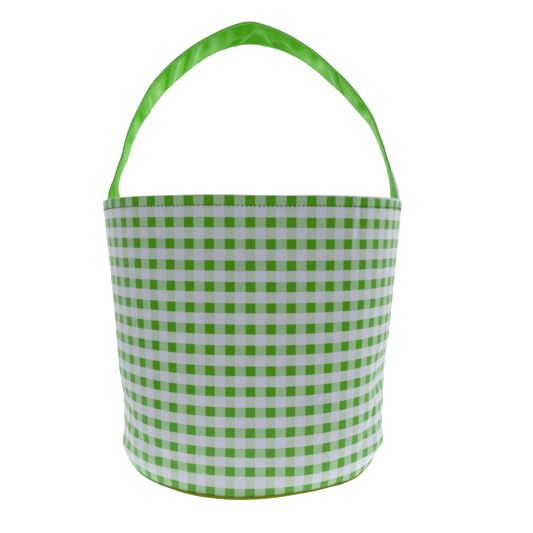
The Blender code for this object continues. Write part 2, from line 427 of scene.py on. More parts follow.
# Waves and hollows of the palm side: angle on the arch, place across (from -1 at the front edge
# to 1 at the back edge), half length in degrees, half width as a place, rise in mm
STRAP_WAVES = (
    (160.0, 0.0, 2.6, 3.0, 0.4),
    (153.0, 0.0, 1.8, 1.2, -0.6),
    (142.8, -0.1, 1.7, 0.9, -0.8),
    (131.2, -0.2, 2.0, 1.2, 0.8),
    (108.1, -0.4, 1.3, 0.4, -0.8),
    (105.0, 0.0, 1.6, 1.2, 0.7),
    (99.2, -0.2, 1.2, 0.6, 0.5),
    (97.2, 0.40, 1.6, 0.3, -1.0),
    (96.0, -0.5, 1.2, 0.35, -0.6),
    (92.7, -0.5, 1.0, 0.3, -0.5),
    (90.2, 0.45, 2.3, 0.45, -1.0),
    (88.6, -0.5, 2.8, 0.35, 0.7),
    (81.6, 0.45, 2.2, 0.45, -1.1),
    (75.4, -0.5, 1.4, 0.4, -0.8),
    (70.0, 0.25, 1.5, 0.9, 0.6),
    (69.2, -0.55, 1.7, 0.4, -0.7),
    (65.2, -0.3, 1.5, 0.8, 0.7),
    (49.0, 0.5, 2.0, 0.6, 0.5),
    (43.2, -0.4, 2.0, 0.4, -0.9),
    (38.8, -0.2, 1.4, 1.0, 0.7),
    (33.5, 0.0, 1.8, 3.0, 0.4),
    (27.0, 0.0, 3.0, 3.0, 0.3),
    (9.0, 0.0, 3.5, 3.0, -0.2),
)

# Creases on the palm side: (angle, place across) of each end, half width and rise in mm
STRAP_CREASES = (
    ((91.6, -0.12), (96.1, 0.70), 0.7, 1.2),
    ((86.4, -0.15), (84.6, 0.55), 0.7, 1.2),
    ((84.8, 0.05), (78.9, -0.30), 0.7, 1.0),
    ((78.9, -0.30), (75.8, 0.30), 0.8, 1.2),
    ((94.2, 0.10), (97.1, 0.00), 0.7, 0.9),
    ((97.1, 0.00), (99.7, 0.35), 0.8, 0.9),
    ((110.2, -0.60), (114.4, 0.60), 1.6, 1.0),
    ((114.2, -0.70), (118.2, 0.50), 1.8, -1.0),
    ((118.5, -0.70), (124.0, 0.55), 1.5, 1.3),
    ((123.6, -0.70), (127.8, 0.60), 2.0, -1.1),
    ((135.3, -0.50), (138.3, 0.75), 1.1, 1.0),
    ((146.3, -0.70), (150.6, 0.60), 1.3, 1.0),
    ((61.0, -0.55), (58.4, -0.20), 1.0, 0.9),
    ((58.4, -0.20), (56.2, 0.70), 0.9, 1.1),
    ((57.8, -0.75), (53.0, 0.50), 1.5, -0.9),
    ((51.8, -0.55), (43.0, -0.20), 1.0, 1.0),
    ((176.5, 0.90), (172.0, 0.10), 1.4, 0.8),
    ((178.5, 0.10), (174.0, -0.55), 1.6, -0.6),
    ((37.0, -0.75), (30.0, -0.30), 1.0, 0.6),
)


def strap_wrinkles(length, place):
    """Rise towards the palm of the strap's cloth, at lengths along it and places across it."""
    angle = strap_angle(length)
    across = place * STRAP_HALF / MM
    rise = 0.05 * np.sin(angle * 1.3 + 1.4 * place) + 0.04 * np.sin(angle * 0.7 - 2.1 * place)
    hold = 1 - 0.85 * place ** 4  # the stitched edges stay straighter
    for centre, middle, spread, wide, height in STRAP_WAVES:
        run = (angle - centre - 1.2 * place) / spread
        rise += height * hold * np.exp(-(run ** 2) - ((place - middle) / wide) ** 2)
    along = np.radians(angle) * ARCH_RADIUS
    for (a0, p0), (a1, p1), half, height in STRAP_CREASES:
        start = np.array([math.radians(a0) * ARCH_RADIUS, p0 * STRAP_HALF / MM])
        stop = np.array([math.radians(a1) * ARCH_RADIUS, p1 * STRAP_HALF / MM])
        share, side = beside_line(along, across, start, stop)
        rise += height * ridge(share, side, half, 30)
    return rise * clear_of_rim(length) * MM


def strap_painted_light(length, place, side):
    """Painted light and shade on the strap's cloth, up to 1 where most lit. Below 0 it is painted
    shade, as in hollows and along the edges.
    """
    # rim: painted shade along the very edges; border: an even middle value by the stitching
    rim = smooth_step(0.95, 0.98, np.abs(place))
    border = smooth_step(0.80, 0.87, np.abs(place))
    # the outer side: an even value, with painted shade along its edges
    if side < 1:
        return 0.15 - 0.75 * rim
    away = np.abs(strap_angle(length) - 90)
    # painted light: paler down the shoulders and legs, which catch more light than the top of the
    # arch
    pale = 0.02 + 0.28 * smooth_step(6, 22, away) + 0.20 * smooth_step(45, 65, away)
    # painted shade just above the feet; painted highlight on the crests of the wrinkles and painted
    # shade in their hollows
    pale = pale - 0.20 * smooth_step(76, 84, away) + 0.70 * strap_wrinkles(length, place) / MM
    # painted shade towards the front edge
    pale = pale - 0.10 * smooth_step(0.2, -0.8, place)
    pale = np.clip(pale, -0.2, 1) * (1 - border) + 0.3 * border
    return pale * (1 - rim) - 0.6 * rim


def strap_frame(length):
    """Middle points, half-width vectors and palm-side normals, at lengths along the strap."""
    middle = points_on(MIDDLE, LENGTHS, length)
    width = points_on((BACK_EDGE - FRONT_EDGE) / 2, LENGTHS, length)
    before = points_on(MIDDLE, LENGTHS, length - 0.8 * MM)
    after = points_on(MIDDLE, LENGTHS, length + 0.8 * MM)
    return middle, width, unit(np.cross(width, after - before))


def strap_point(length, place, side):
    """Points on the strap's palm side (side 1) or outer side (side -1)."""
    middle, width, palm = strap_frame(length)
    edge = np.clip(1 - np.abs(place) ** 10, 0, 1) ** 0.5
    stitch = (1 - np.abs(place)) * STRAP_HALF - STRAP_STITCH_INSET
    groove = 0.5 * np.exp(-((stitch / (0.7 * MM)) ** 2))
    thickness = STRAP_THICKNESS * edge * (1 - groove)
    bow = 0.7 * MM * clear_of_rim(length) * (1 - place ** 2)
    rise = strap_wrinkles(length, place) * (0.6 + 0.4 * side) + bow + side * thickness / 2
    return middle + width * place[:, None] + palm * rise[:, None]


# ---------------------------------------------------------------- meshes

def link(name, data):
    obj = bpy.data.objects.new(name, data)
    bpy.context.scene.collection.objects.link(obj)
    return obj


def new_object(name, mesh, material):
    mesh.materials.append(material)
    return link(name, mesh)


def grid_object(name, points, cloth, material, closed=False):
    """A sheet from a grid of points (rows, columns, 3). cloth holds each point's place on it.

    closed joins the last column to the first.
    """
    rows, columns = points.shape[:2]
    index = np.arange(rows * columns).reshape(rows, columns)
    right = np.roll(index, -1, axis=1) if closed else index[:, 1:]
    left = index if closed else index[:, :-1]
    quads = np.stack([left[:-1], right[:-1], right[1:], left[1:]], axis=-1).reshape(-1, 4)
    mesh = bpy.data.meshes.new(name)
    mesh.from_pydata(points.reshape(-1, 3).tolist(), [], quads.tolist())
    layer = mesh.uv_layers.new(name="cloth")
    corners = np.empty(len(mesh.loops), dtype=np.int32)
    mesh.loops.foreach_get("vertex_index", corners)
    uv = cloth.reshape(-1, 2)[corners]
    if closed:
        span = uv[:, 0].max() - uv[:, 0].min()
        faces = uv[:, 0].reshape(-1, 4)
        faces[(faces.max(1) - faces.min(1)) > span / 2] = faces.max()
        uv[:, 0] = faces.ravel()
    layer.data.foreach_set("uv", uv.astype(np.float32).ravel())
    mesh.shade_smooth()
    return new_object(name, mesh, material)


def thicken(obj, thickness, offset=-1.0):
    solidify = obj.modifiers.new("Thickness", "SOLIDIFY")
    solidify.thickness = thickness
    solidify.offset = offset
    solidify.use_even_offset = False


def on_bag(obj, node):
    """The piece takes the place of a CAD node of the bag."""
    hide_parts(node)
    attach(obj, "bag")


def wall_sheet(name, node, rows, places, material, thickness):
    """Half of a layer of the wall, from rows of points and their places on the cloth."""
    obj = grid_object(name, np.stack(rows), np.stack(places), material)
    thicken(obj, thickness)
    on_bag(obj, node)


SECTIONS, CORNERS = 7, 6  # sections of a stitch's tube, and the corners of each


def stitch_faces(first):
    """Faces of one stitch's closed tube, whose corners are numbered from first."""
    faces = []
    for k in range(SECTIONS - 1):
        for j in range(CORNERS):
            a, b = first + k * CORNERS + j, first + k * CORNERS + (j + 1) % CORNERS
            faces.append((a, b, b + CORNERS, a + CORNERS))
    last = first + (SECTIONS - 1) * CORNERS
    faces.append(tuple(first + j for j in reversed(range(CORNERS))))
    faces.append(tuple(last + j for j in range(CORNERS)))
    return faces


def stitch_object(name, path, normals, material, pitch, radius, seed):
    """A row of single stitches lying on a path, each arched over the cloth and sunk at its ends."""
    run = distances(path)
    count = int(run[-1] / pitch)
    jitter = np.random.default_rng(seed).uniform(-1, 1, (count, 3))
    t = np.linspace(0, 1, SECTIONS)
    girth = 0.55 + 0.45 * np.sin(math.pi * t)
    verts, faces = [], []
    for i in range(count):
        start = (i + 0.14 + 0.05 * jitter[i, 0]) * pitch
        at = start + t * pitch * (STITCH_SHARE + 0.05 * jitter[i, 1])
        centre = points_on(path, run, at)
        up = unit(points_on(normals, run, at))
        side = unit(np.cross(centre[-1] - centre[0], up))
        centre += side * (0.10 * jitter[i, 2] * radius)
        centre += up * (np.sin(math.pi * t)[:, None] * radius * 1.5 - radius)
        faces += stitch_faces(len(verts))
        for k in range(SECTIONS):
            for j in range(CORNERS):
                a = 2 * math.pi * j / CORNERS
                r = radius * girth[k]
                verts.append(centre[k] + side[k] * (r * math.cos(a)) + up[k] * (r * math.sin(a)))
    mesh = bpy.data.meshes.new(name)
    mesh.from_pydata([tuple(v) for v in verts], [], faces)
    mesh.shade_smooth()
    return new_object(name, mesh, material)


# ---------------------------------------------------------------- materials

class Tree:
    """A node tree, with short calls to fill it."""

    def __init__(self, owner):
        owner.use_nodes = True
        self.tree = owner.node_tree

    def put(self, socket, value):
        if isinstance(value, bpy.types.NodeSocket):
            self.tree.links.new(value, socket)
        else:
            socket.default_value = value

    def node(self, kind, inputs=(), **settings):
        made = self.tree.nodes.new(kind)
        for key, value in settings.items():
            setattr(made, key, value)
        for key, value in dict(inputs).items():
            self.put(made.inputs[key], value)
        return made

    def math(self, operation, a, b=0.0):
        made = self.node("ShaderNodeMath", {0: a, 1: b}, operation=operation)
        return made.outputs[0]

    def times(self, first, *others):
        for other in others:
            first = self.math("MULTIPLY", first, other)
        return first

    def mix(self, share, a, b):
        made = self.node("ShaderNodeMix", {0: share}, data_type="RGBA")
        self.put(made.inputs[6], a)
        self.put(made.inputs[7], b)
        return made.outputs[2]

    def scale(self, colour, factor):
        """The colour times a grey factor."""
        made = self.node("ShaderNodeMix", {0: 1.0}, data_type="RGBA", blend_type="MULTIPLY")
        self.put(made.inputs[6], colour)
        self.put(made.inputs[7], factor)
        return made.outputs[2]

    def map_range(self, value, low, high, to_low=0.0, to_high=1.0):
        inputs = {0: value, 1: low, 2: high, 3: to_low, 4: to_high}
        return self.node("ShaderNodeMapRange", inputs).outputs[0]


class Nodes(Tree):
    """The nodes of a dull material, and the patterns that cloths share."""

    def __init__(self, name, roughness, sheen=0.0):
        self.material = bpy.data.materials.new(name)
        super().__init__(self.material)
        self.shader = self.tree.nodes["Principled BSDF"]
        self.put(self.shader.inputs["Roughness"], roughness)
        self.put(self.shader.inputs["Specular IOR Level"], 0.06)
        self.put(self.shader.inputs["Sheen Weight"], sheen)
        self.put(self.shader.inputs["Sheen Roughness"], 0.35)

    def cloth_place(self):
        """Place on the cloth, in millimetres along and across its threads."""
        uv = self.node("ShaderNodeUVMap", uv_map="cloth").outputs[0]
        split = self.node("ShaderNodeSeparateXYZ", {0: uv})
        return [self.times(place, 1 / MM) for place in split.outputs[:2]]

    def noise(self, u, v, scale_u, scale_v, detail=2.0):
        scaled = {0: self.times(u, scale_u), 1: self.times(v, scale_v)}
        place = self.node("ShaderNodeCombineXYZ", scaled).outputs[0]
        inputs = {"Vector": place, "Scale": 1.0, "Detail": detail}
        return self.node("ShaderNodeTexNoise", inputs).outputs[0]

    def weave(self, u, v, pitch=WEAVE_PITCH):
        """-1 where the crosswise thread is on top, 1 where the lengthwise one is."""
        waves = [self.math("SINE", self.times(place, math.pi / pitch)) for place in (u, v)]
        return self.times(*waves)

    def threads(self, u, v, pitch=WEAVE_PITCH):
        """Factor near 1 that differs from thread to thread, for both sets of threads."""
        upright = self.noise(u, v, 0.9 / pitch, 0.05, 1.0)
        level = self.noise(u, v, 0.05, 0.9 / pitch, 1.0)
        both = self.math("ADD", upright, level)
        return self.map_range(both, 0.6, 1.4, 0.95, 1.05)

    def bump(self, height, distance, strength=1.0):
        inputs = {"Height": height, "Distance": distance, "Strength": strength}
        return self.node("ShaderNodeBump", inputs).outputs[0]

    def done(self, colour, normal=None):
        self.put(self.shader.inputs["Base Color"], colour)
        if normal is not None:
            self.put(self.shader.inputs["Normal"], normal)
        return self.material


GINGHAM_WHITE = (0.625, 0.630, 0.750, 1)
GINGHAM_ROW = (0.343, 0.540, 0.310, 1)  # coloured row over a white column
GINGHAM_COLUMN = (0.500, 0.590, 0.512, 1)
GINGHAM_DARK = (0.076, 0.334, 0.0045, 1)
STRAP_DEEP = (0.105, 0.600, 0.003, 1)
STRAP_PALE = (0.460, 0.920, 0.300, 1)  # painted highlight: the colour where the cloth catches the light
# painted shade: the base's green cloth, darker and yellower as it looks in shade under the bag
BASE_SHADED_GREEN = (0.20, 0.27, 0.004, 1)
LINING_WHITE = (0.72, 0.72, 0.78, 1)
STAY_WHITE = (0.84, 0.84, 0.92, 1)
FELT_WHITE = (0.80, 0.79, 0.76, 1)
BOARD_BROWN = (0.36, 0.29, 0.20, 1)
FLOOR_WHITE = (0.88, 0.88, 0.88, 1)
# painted sheen of the floor, mixed into the gingham towards the base
SHEEN_WHITE = (0.8, 0.8, 0.8, 1)
THREAD_GREEN = (0.04, 0.20, 0.02, 1)
STRAP_THREAD = (0.02, 0.13, 0.006, 1)
BAND_SHARE = 0.24  # half a coloured band, as a share of the repeat
BAND_EDGE = 0.10  # softness of a band's edge, in mm


def band(nodes, place, phase):
    """1 inside a coloured band and 0 in a white one. Place is in mm, phase a band's middle."""
    repeat = CHECK / MM
    turns = nodes.math("DIVIDE", nodes.math("SUBTRACT", place, phase), repeat)
    nearest = nodes.math("ROUND", turns)
    away = nodes.math("ABSOLUTE", nodes.math("SUBTRACT", turns, nearest))
    edge = BAND_SHARE * repeat
    return nodes.map_range(nodes.times(away, repeat), edge + BAND_EDGE, edge - BAND_EDGE)


def gingham_material():
    nodes = Nodes("gingham_cloth", 0.88, 0.2)
    u, v = nodes.cloth_place()
    wander_u = nodes.map_range(nodes.noise(u, v, 0.02, 0.25), 0, 1, -0.16, 0.16)
    wander_v = nodes.map_range(nodes.noise(u, v, 0.25, 0.02), 0, 1, -0.16, 0.16)
    row_phase = (ROW_PHASE * CHECK / CHECK_HEIGHT) / MM
    column = band(nodes, nodes.math("ADD", u, wander_u), COLUMN_PHASE / MM)
    row = band(nodes, nodes.math("ADD", v, wander_v), row_phase)
    plain = nodes.mix(column, GINGHAM_WHITE, GINGHAM_COLUMN)
    coloured = nodes.mix(column, GINGHAM_ROW, GINGHAM_DARK)
    colour = nodes.mix(row, plain, coloured)
    weave = nodes.weave(u, v)
    lines = nodes.threads(u, v)
    mottle = nodes.map_range(nodes.noise(u, v, 0.06, 0.06), 0.3, 0.7, 0.97, 1.03)
    shade = nodes.map_range(weave, -1, 1, 0.95, 1.05)
    colour = nodes.scale(colour, nodes.times(lines, shade, mottle))
    floor_sheen = nodes.map_range(v, 75, 4, 0.0, 0.055)  # painted sheen: paler towards the base, where the cloth reflects the bright floor
    colour = nodes.mix(floor_sheen, colour, SHEEN_WHITE)
    facing = nodes.node("ShaderNodeLayerWeight", {"Blend": 0.5}).outputs["Facing"]
    grazing_sheen = nodes.map_range(facing, 0.35, 0.85, 0.0, 0.14)  # painted sheen of the cloth's fuzz: paler where it is seen along the cloth
    colour = nodes.mix(grazing_sheen, colour, GINGHAM_WHITE)
    height = nodes.math("ADD", nodes.times(weave, 0.5), lines)
    normal = nodes.bump(height, 0.04 * MM, 0.4)
    return nodes.done(colour, normal)


def woven_material(name, colour, pitch, roughness, sheen):
    """Plain woven cloth of one colour."""
    nodes = Nodes(name, roughness, sheen)
    u, v = nodes.cloth_place()
    weave = nodes.weave(u, v, pitch)
    lines = nodes.threads(u, v, pitch)
    slubs = nodes.noise(u, v, 0.9, 0.04, 3.0)
    slubs = nodes.map_range(slubs, 0.25, 0.75, 0.94, 1.06)
    mottle = nodes.map_range(nodes.noise(u, v, 0.05, 0.05), 0.3, 0.7, 0.95, 1.05)
    height = nodes.math("ADD", nodes.times(weave, 0.5), slubs)
    normal = nodes.bump(height, 0.05 * MM, 0.6)
    return nodes.done(nodes.scale(colour, nodes.times(slubs, mottle, lines)), normal)


def strap_material():
    """Green cotton with painted light and shade: paler where it catches the light, darker in its
    hollows and along its edges.
    """
    nodes = Nodes("strap_cloth", 0.8, 0.04)
    nodes.put(nodes.shader.inputs["Sheen Tint"], (0.6, 1.0, 0.5, 1))
    u, v = nodes.cloth_place()
    pale = nodes.node("ShaderNodeAttribute", attribute_name="pale").outputs["Fac"]
    uneven = nodes.map_range(nodes.noise(u, v, 0.12, 0.3, 3.0), 0.3, 0.7, 0.85, 1.15)
    colour = nodes.mix(nodes.times(pale, uneven), STRAP_DEEP, STRAP_PALE)
    # painted shade: darker where the painted value is below 0
    shade = nodes.times(nodes.threads(u, v), nodes.map_range(pale, -1, 0, 0.35, 1))
    normal = nodes.bump(nodes.weave(u, v), 0.03 * MM, 0.15)
    return nodes.done(nodes.scale(colour, shade), normal)


def thread_material(name, colour):
    nodes = Nodes(name, 0.55, 0.2)
    place = nodes.node("ShaderNodeTexCoord").outputs["Object"]
    inputs = {"Vector": place, "Scale": 2600.0, "Distortion": 0.4}
    twist = nodes.node("ShaderNodeTexWave", inputs, bands_direction="DIAGONAL").outputs[1]
    factor = nodes.map_range(twist, 0, 1, 0.7, 1.15)
    normal = nodes.bump(twist, 0.03 * MM)
    return nodes.done(nodes.scale(colour, factor), normal)


def fibre_material(name, colour, scale, spread):
    """Pressed fibre, such as felt or chipboard, speckled through."""
    nodes = Nodes(name, 0.95, 0.1)
    place = nodes.node("ShaderNodeTexCoord").outputs["Object"]
    inputs = {"Vector": place, "Scale": scale, "Detail": 6.0, "Roughness": 0.7}
    fleck = nodes.node("ShaderNodeTexNoise", inputs).outputs[0]
    factor = nodes.map_range(fleck, 0.3, 0.7, 1 - spread, 1 + spread)
    normal = nodes.bump(fleck, 0.15 * MM, 0.5)
    return nodes.done(nodes.scale(colour, factor), normal)


# ---------------------------------------------------------------- pieces of the bucket

HALF_TURN = math.pi
SIDE = math.pi / 2  # bearing of the right side seam
SEAM_GAP = 0.0016  # radians between a panel's edge and the side seam


def all_round(count):
    """Bearings round the whole bag, its back taken once."""
    return np.linspace(-HALF_TURN, HALF_TURN, count + 1)[:-1]


def panel_bearings(centre, columns):
    """Bearings evenly spaced round the wall from one side seam to the other."""
    dense = np.linspace(-SIDE + SEAM_GAP, SIDE - SEAM_GAP, 2000)
    length = arc_lengths(dense, RIM_Z / 2, 0.0)
    return centre + np.interp(np.linspace(length[0], length[-1], columns), length, dense)


def wrap(bearing):
    """The same bearing, within half a turn of the front."""
    return (bearing + HALF_TURN) % (2 * HALF_TURN) - HALF_TURN


HALF_CLOTH = 100 * MM  # about half the height and width of a panel


def pattern_place(s, z):
    """Place on the printed cloth. It is cut and sewn a little out of true."""
    across = np.clip(s / HALF_CLOTH, -1.3, 1.3)
    up = (z - HALF_CLOTH) / HALF_CLOTH
    off_s = -0.64 - 0.32 * across - 0.06 * up + 1.07 * across ** 2 + 1.40 * across * up
    off_z = 0.35 + 0.20 * across - 0.24 * up - 0.38 * across ** 2 - 0.53 * across * up
    off_s += 0.29 * up ** 2
    off_z += 0.77 * up ** 2
    slack = smooth_step(-75, -50, s / MM) * smooth_step(40, 15, s / MM)
    off_z -= 1.3 * slack * np.exp(-(((z / MM - 17) / 9) ** 2))
    return np.stack([s + off_s * MM, (z + off_z * MM) * CHECK / CHECK_HEIGHT], axis=1)


def outer_rows():
    """Rows of the wall cloth below its fold, closer together near the foot and the stitching."""
    low = np.linspace(0, 0.10, 14)[:-1]
    middle = np.linspace(0.10, 0.92, 78)[:-1]
    high = np.linspace(0.92, 1.0, 24)
    return np.concatenate([low, middle, high])


def outer_panel(name, node, centre, material):
    """Half of the gingham wall, from the base seam up, over the rim and down inside."""
    bearings = panel_bearings(centre, 360)
    local = wrap(bearings)
    top = rim_height(local) - ROLL_RADIUS
    rows, places = [], []
    for share in outer_rows():
        z = WALL_BOTTOM + share * (top - WALL_BOTTOM)
        points, normals = wall(local, z)
        points = points + normals * pucker_field(local, z)[:, None]
        s = arc_lengths(bearings, float(z.mean()), centre)
        rows.append(points)
        places.append(pattern_place(s, z))
    edge, normals = wall(local, top)
    s = arc_lengths(bearings, float(top.mean()), centre)
    for angle in np.linspace(0, math.pi, 11)[1:]:
        points = edge - normals * (ROLL_RADIUS * (1 - math.cos(angle)))
        points[:, 2] += ROLL_RADIUS * math.sin(angle)
        rows.append(points)
        places.append(pattern_place(s, top + ROLL_RADIUS * angle))
    for drop in np.linspace(0, HEM_DEPTH, 8)[1:]:
        points, normals = wall(local, top - drop)
        points = points - normals * (2 * ROLL_RADIUS)
        rows.append(points)
        places.append(pattern_place(s, top + ROLL_RADIUS * math.pi + drop))
    wall_sheet(name, node, rows, places, material, CLOTH)


def strap_room(bearing, z):
    """Extra inset of the lining where a strap tail lies behind it."""
    off = np.abs(np.abs(np.degrees(bearing)) - 90) * MM_PER_DEGREE * MM
    beside = smooth_step(STRAP_HALF + 6 * MM, STRAP_HALF - 1 * MM, off)
    depth = smooth_step(TAIL_DEPTH + 12 * MM, TAIL_DEPTH - 2 * MM, RIM_Z - z)
    return 1.5 * MM * beside * depth


def lining_slack(bearing, z):
    """Soft upright folds of the loose lining, dying out at its rim and foot."""
    up = z / RIM_Z
    fold = 0.55 * np.sin(17 * bearing + 2.5 * up) + 0.4 * np.sin(29 * bearing - 4 * up + 1.1)
    return fold * MM * np.sin(math.pi * np.clip(up, 0, 1)) ** 0.7


def lining_panel(name, node, centre, material):
    """Half of the loose lining, from the base board up to its own fold inside the rim."""
    bearings = panel_bearings(centre, 180)
    local = wrap(bearings)
    bottom = BOARD_TOP + 1.1 * MM
    top = rim_height(local) - 1.0 * MM
    rows, places = [], []
    for share in np.linspace(0, 1, 80):
        z = bottom + share * (top - bottom)
        inset = LINING_INSET + strap_room(local, z)
        points, normals = wall(local, z, inset, 0.8)
        stitch = (rim_height(local) - z - STITCH_DROP) / MM
        groove = 0.25 * MM * np.exp(-(stitch ** 2))
        fold = groove - np.abs(lining_slack(local, z)) * smooth_step(0, 10, stitch)
        points = points + normals * fold[:, None]
        s = arc_lengths(bearings, float(z.mean()), centre)
        rows.append(points)
        places.append(np.stack([s, z], axis=1))
    fold_top, normals = rows[-1], wall(local, top)[1]
    for angle in np.linspace(0, math.pi, 6)[1:]:
        points = fold_top - normals * (LINING_FOLD * (1 - math.cos(angle)))
        points[:, 2] += LINING_FOLD * math.sin(angle)
        rows.append(points)
        places.append(np.stack([s, top + LINING_FOLD * angle], axis=1))
    for drop in (2 * MM, 5 * MM):
        points = rows[-1].copy()
        points[:, 2] = top - drop
        rows.append(points)
        places.append(np.stack([s, top + LINING_FOLD * math.pi + drop], axis=1))
    wall_sheet(name, node, rows, places, material, LINING)


def stiffener_panel(name, node, centre, material):
    """Half of the felt between the wall cloth and the lining."""
    bearings = panel_bearings(centre, 120)
    local = wrap(bearings)
    rows, places = [], []
    top = rim_height(local) - 2.4 * MM
    for share in np.linspace(0, 1, 60):
        z = WALL_BOTTOM + 1 * MM + share * (top - WALL_BOTTOM - 1 * MM)
        rows.append(wall(local, z, STIFFENER_INSET)[0])
        places.append(np.stack([arc_lengths(bearings, RIM_Z / 2, centre), z], axis=1))
    wall_sheet(name, node, rows, places, material, STIFFENER)


INNERMOST = 0.985 * BASE_HALF  # inset of a disc's first ring, which leaves a pinhole


def disc_object(name, profile, bearings, material):
    """A disc made of rings, one for each (inset from the base's edge, height) of a profile."""
    rings = []
    for inset, z in profile:
        inset = np.broadcast_to(inset, bearings.shape)
        outline = section(bearings, np.zeros_like(bearings))[0]
        points = outline * np.clip(1 - inset / BASE_HALF, 0, None)[:, None]
        points[:, 2] = z
        rings.append(points)
    points = np.stack(rings)
    return grid_object(name, points, points[:, :, :2], material, closed=True)


def base_cloth(material):
    """The base cloth: flat under the bag, its edge rolled up outside the foot of the wall."""
    bearings = all_round(360)
    degrees = np.degrees(bearings)
    front = smooth_step(44, 8, np.abs(degrees))
    swell = (0.08 * np.sin(11 * bearings) + 0.06 * np.sin(23 * bearings + 1)) * MM * front
    fold = 0.7 * MM * np.exp(-(((degrees - 38) / 3.0) ** 2))
    radius = (0.28 + 0.34 * front) * MM + swell * 0.3
    under = 0.45 * smooth_step(46, 62, np.abs(degrees))
    out = (0.05 + 0.85 * front - under) * MM + swell + fold - 0.88 * foot_inset(bearings)
    profile = [(inset, 0.35 * MM) for inset in np.linspace(BASE_HALF * 0.97, 3 * MM, 12)]
    for angle in np.linspace(-90, 200, 15):
        a = math.radians(angle)
        inset = radius - out - radius * math.cos(a)
        profile.append((inset, 0.05 * MM + radius + radius * math.sin(a)))
    obj = disc_object("base_cloth", profile, bearings, material)
    thicken(obj, 0.3 * MM, 1.0)
    on_bag(obj, "outer_base_panel")


def board(material):
    """The stiff board in the base, cut to the shape of the foot, its edges slightly crushed."""
    bearings = all_round(240)
    edge = 2.5 * MM + 0.8 * foot_inset(bearings)
    bottom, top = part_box("base_board")[0].z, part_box("base_board")[1].z
    profile = [(INNERMOST, bottom), (edge + 0.5 * MM, bottom)]
    for angle in np.linspace(-80, 80, 7):
        a = math.radians(angle)
        height = (bottom + top) / 2 + (top - bottom) / 2 * math.sin(a)
        profile.append((edge + 0.3 * MM * (1 - math.cos(a)), height))
    profile += [(edge + 0.5 * MM, top), (INNERMOST, top)]
    obj = disc_object("base_board_sheet", profile, bearings, material)
    on_bag(obj, "base_board")


def lining_base(material):
    """The lining's floor, lying in slack waves on the board."""
    bearings = all_round(240)
    edge = 3.4 * MM + 0.6 * foot_inset(bearings)
    profile = []
    for share in np.linspace(0, 1, 40):
        inset = INNERMOST * (1 - share) + edge * share
        run = inset / BASE_HALF
        wave = 0.35 * np.sin(7 * run + 3 * bearings) + 0.25 * np.sin(15 * run - 5 * bearings)
        height = BOARD_TOP + 0.55 * MM + 0.4 * MM * np.abs(wave) * smooth_step(0, 0.2, run)
        profile.append((inset, height))
    obj = disc_object("lining_base_cloth", profile, bearings, material)
    thicken(obj, LINING)
    on_bag(obj, "lining_base_panel")


STITCH_RING = np.linspace(-HALF_TURN, HALF_TURN, 1440)


def rim_stitching(material):
    """Topstitching outside in the pucker of the wall cloth, and inside on the lining."""
    z = rim_height(STITCH_RING) - STITCH_DROP
    size = STITCH_PITCH, STITCH_RADIUS
    path, normals = wall(STITCH_RING, z)
    path = path + normals * pucker_field(STITCH_RING, z)[:, None]
    needle = stitch_object("rim_needle_stitches", path, normals, material, *size, seed=3)
    on_bag(needle, "rim_needle_thread")
    inset = LINING_INSET + LINING + strap_room(STITCH_RING, z) - 0.25 * MM
    path, normals = wall(STITCH_RING, z, inset, 0.8)
    bobbin = stitch_object("rim_bobbin_stitches", path, -normals, material, *size, seed=4)
    on_bag(bobbin, "rim_bobbin_thread")


def base_seam(material):
    """The stitches that hold the foot of the wall to the base cloth."""
    path, normals = wall(STITCH_RING, np.full_like(STITCH_RING, WALL_BOTTOM + 0.3 * MM))
    size = FINE_PITCH, BASE_STITCH_RADIUS
    obj = stitch_object("base_seam_stitches", path, normals, material, *size, seed=12)
    on_bag(obj, "base_seam_thread")


def side_seams(material):
    """The stitches that join the two halves of the wall."""
    z = np.linspace(WALL_BOTTOM + 1 * MM, RIM_Z - 3 * MM, 400)
    size = FINE_PITCH, SIDE_STITCH_RADIUS
    for side, bearing in (("left", -SIDE), ("right", SIDE)):
        path, normals = wall(np.full_like(z, bearing), z, 0.35 * MM)
        obj = stitch_object(f"{side}_seam_stitches", path, normals, material, *size, seed=9)
        on_bag(obj, f"{side}_side_seam_thread")


def build_bucket(gingham, lining, shaded_green, felt, chipboard, thread):
    for half, centre in (("front", 0.0), ("back", HALF_TURN)):
        outer_panel(f"outer_{half}_cloth", f"outer_{half}_panel", centre, gingham)
        stiffener_panel(f"{half}_stiffener_sheet", f"{half}_stiffener", centre, felt)
        lining_panel(f"lining_{half}_cloth", f"lining_{half}_panel", centre, lining)
    base_cloth(shaded_green)
    board(chipboard)
    lining_base(lining)
    rim_stitching(thread)
    side_seams(thread)
    base_seam(thread)


# ---------------------------------------------------------------- pieces of the strap

def bend_with_strap(obj):
    """Bakes the piece's transform into its mesh."""
    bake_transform(obj)


def strap_cloth(material):
    """The strap: a flat tube of cloth, turned in at its edges and stitched down both of them."""
    lengths = np.linspace(0, STRAP_LENGTH, 330)
    inner = np.sin(np.linspace(-math.pi / 2, math.pi / 2, 41))[1:-1]
    face = np.ones_like(inner)
    places = np.concatenate([inner, [1.0], inner[::-1], [-1.0]])
    sides = np.concatenate([face, [0.0], -face, [0.0]])
    columns, cloth, pale = [], [], []
    run = np.concatenate([[0], np.cumsum(np.abs(np.diff(places)) + 0.02)]) * STRAP_HALF
    for place, side, along in zip(places, sides, run):
        place = np.full_like(lengths, place)
        columns.append(strap_point(lengths, place, side))
        cloth.append(np.stack([lengths, np.full_like(lengths, along)], axis=1))
        # painted light and shade for each point, read by the strap's material
        pale.append(strap_painted_light(lengths, place, side))
    points = np.stack(columns, axis=1)
    obj = grid_object("strap_cloth", points, np.stack(cloth, axis=1), material, closed=True)
    layer = obj.data.attributes.new("pale", "FLOAT", "POINT")
    layer.data.foreach_set("value", np.stack(pale, axis=1).astype(np.float32).ravel())
    obj.data.flip_normals()
    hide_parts("handle_outer_strip", "handle_core", "handle_inner_strip")
    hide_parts("left_strap_tail", "right_strap_tail")
    bend_with_strap(obj)


